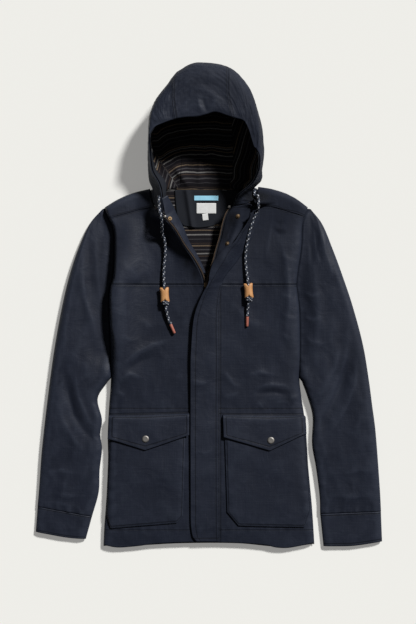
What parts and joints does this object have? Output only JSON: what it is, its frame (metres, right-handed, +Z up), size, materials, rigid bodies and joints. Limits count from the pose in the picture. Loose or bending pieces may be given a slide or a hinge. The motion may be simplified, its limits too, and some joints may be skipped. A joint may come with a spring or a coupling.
{
  "type": "hooded jacket",
  "caption": "Hooded waxed cotton jacket laid flat on its back, hood propped open, front open at the neck, storm flap over the zip, flapped patch pockets and drawcords with leather toggles",
  "frame": {"origin": "middle of the jacket's plan on the surface that it lies on", "axes": "+Y from the hem to the hood, +X to the viewer's right, +Z up from the surface"},
  "size_m": [0.726, 1.0047, 0.1016],
  "materials": {
    "waxed_cotton": "waxed, matt with a slight sheen",
    "striped_lining": "dark woven cotton with pale, tan and grey stripes",
    "navy_facing": "navy cotton twill",
    "leather": "tan, natural grain",
    "cord": "braided navy and black with white flecks",
    "cord_tip": "dipped, terracotta",
    "pewter": "dull pewter",
    "brass": "aged",
    "blue_tape": "woven",
    "white_label": "woven, bare"
  },
  "bodies": {
    "root": {"back": "waxed_cotton", "back_lining": "striped_lining", "chest_l": "waxed_cotton", "chest_r": "waxed_cotton", "cord_l": "cord", "cord_r": "cord", "cuff_l": "waxed_cotton", "cuff_r": "waxed_cotton", "facing_l": "waxed_cotton", "front_l": "waxed_cotton", "front_r": "waxed_cotton", "hood_centre": "waxed_cotton", "hood_channel": "navy_facing", "hood_lining_centre": "striped_lining", "hood_lining_l": "striped_lining", "hood_lining_r": "striped_lining", "hood_side_l": "waxed_cotton", "hood_side_r": "waxed_cotton", "knot_l": "cord", "knot_r": "cord", "loop_tape": "blue_tape", "neck_facing": "navy_facing", "neck_label": "white_label", "pocket_flap_l": "waxed_cotton", "pocket_flap_r": "waxed_cotton", "pocket_l": "waxed_cotton", "pocket_r": "waxed_cotton", "size_tab": "white_label", "sleeve_l_top": "waxed_cotton", "sleeve_l_under": "waxed_cotton", "sleeve_r_top": "waxed_cotton", "sleeve_r_under": "waxed_cotton", "snap_l": "pewter", "snap_r": "pewter", "storm_flap": "waxed_cotton", "stud_l": "brass", "stud_r_lower": "brass", "stud_r_upper": "brass", "tip_l": "cord_tip", "tip_r": "cord_tip", "toggle_l": "leather", "toggle_r": "leather", "yoke_l": "waxed_cotton", "yoke_r": "waxed_cotton", "zip_closed": "brass", "zip_l": "brass", "zip_r": "brass", "zip_slider": "brass"}
  },
  "joints": []
}
